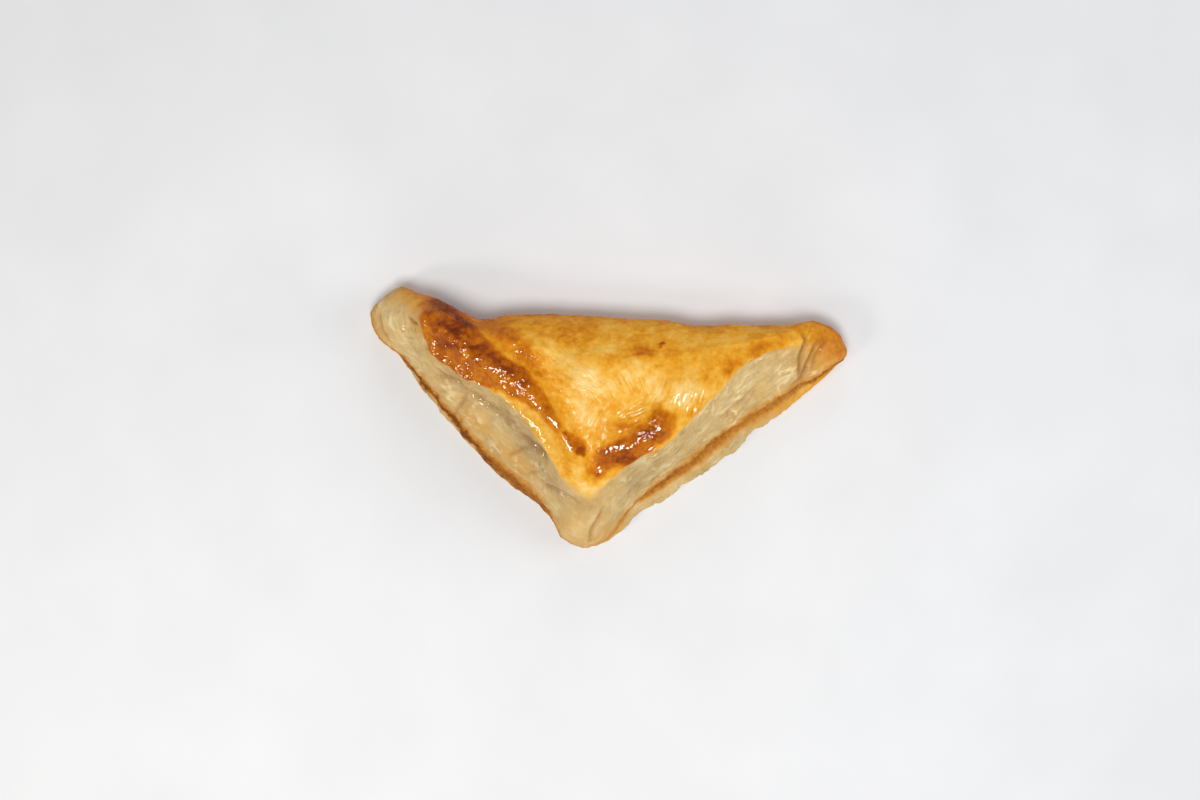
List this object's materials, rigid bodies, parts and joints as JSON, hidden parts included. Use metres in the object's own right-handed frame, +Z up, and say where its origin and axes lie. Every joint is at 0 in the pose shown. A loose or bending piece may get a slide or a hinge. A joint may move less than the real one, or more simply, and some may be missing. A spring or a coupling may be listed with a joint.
{
  "type": "triangular puff pastry turnover",
  "caption": "Baked triangular puff pastry turnover with a glazed domed top, pale layered cut edges, a browned seam and a rounded fold.",
  "frame": {"origin": "middle of the bounding box in plan, on the surface that the turnover rests on", "axes": "+X along the folded long edge from the blunt pale ear to the browned ear, -Y towards the corner where the two cut edges meet, +Z up"},
  "size_m": [0.2104, 0.1154, 0.0435],
  "materials": {
    "crust": "egg-glazed puff pastry: glossy golden brown top with darker blisters, matt cream layered walls and a browned seam"
  },
  "bodies": {
    "root": {"patty": "crust"}
  },
  "joints": []
}
